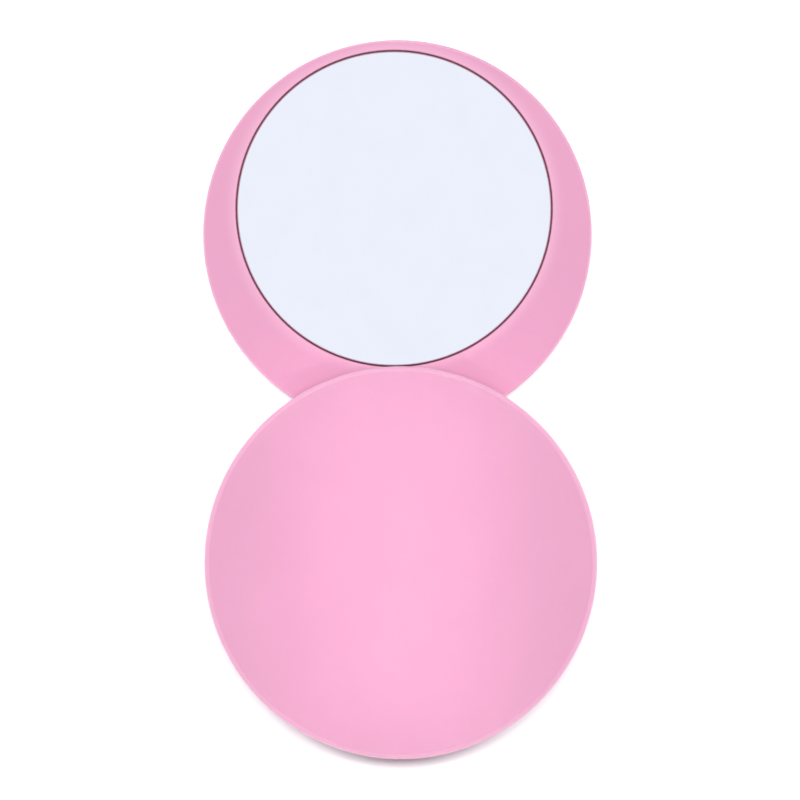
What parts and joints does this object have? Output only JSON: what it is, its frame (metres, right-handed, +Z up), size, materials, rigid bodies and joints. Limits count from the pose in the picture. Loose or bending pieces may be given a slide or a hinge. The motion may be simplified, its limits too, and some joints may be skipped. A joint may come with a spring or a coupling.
{
  "type": "swivel contact lens case",
  "caption": "Round swivel contact lens case: a hinged twin-well case leaf over a round mirror leaf, shown swung open.",
  "frame": {"origin": "on the rest surface, midway between the centres of the two round leaves in the stored open pose", "axes": "+Z up out of the mirror and the lid; +Y from the case leaf to the mirror leaf; +X to the right, towards the lid's thumb scoop"},
  "size_m": [0.0706, 0.1288, 0.0236],
  "materials": {
    "soft_touch_pink": "matte",
    "mirror_face": "polished",
    "tray_white": "satin",
    "well_white": "gloss",
    "silicone": "matte",
    "small_screws": "satin",
    "steel": "satin",
    "magnet_plating": "satin",
    "brass_insert": "satin",
    "nylon": "satin",
    "foam_tape": "matte"
  },
  "bodies": {
    "case": {"case_base": "soft_touch_pink", "tray_plate": "tray_white", "left_well": "well_white", "right_well": "well_white", "tray_screws": "small_screws", "base_magnets": "magnet_plating", "hinge_pin": "steel", "pivot_bush": "nylon", "wave_washer": "steel", "stop_pin": "steel", "pivot_cap": "tray_white"},
    "lid": {"lid_shell": "soft_touch_pink", "lid_liner": "tray_white", "left_seal": "silicone", "right_seal": "silicone", "liner_screws": "small_screws", "lid_strikers": "steel"},
    "mirror_leaf": {"mirror_frame": "soft_touch_pink", "mirror_glass": "mirror_face", "mirror_tape": "foam_tape", "mirror_back": "soft_touch_pink", "back_screws": "small_screws", "pivot_insert": "brass_insert", "pivot_screw": "steel", "slip_washer": "nylon"}
  },
  "joints": [
    {"name": "mirror_swing", "type": "hinge", "parent": "case", "child": "mirror_leaf", "pos_m": [0.00361, 0.00004, 0.006], "axis": [0, 0, 1], "range_deg": [-14, 166]},
    {"name": "lid_hinge", "type": "hinge", "parent": "case", "child": "lid", "pos_m": [-0.0327, -0.02943, 0.01615], "axis": [0, -1, 0], "range_deg": [0, 100]}
  ]
}
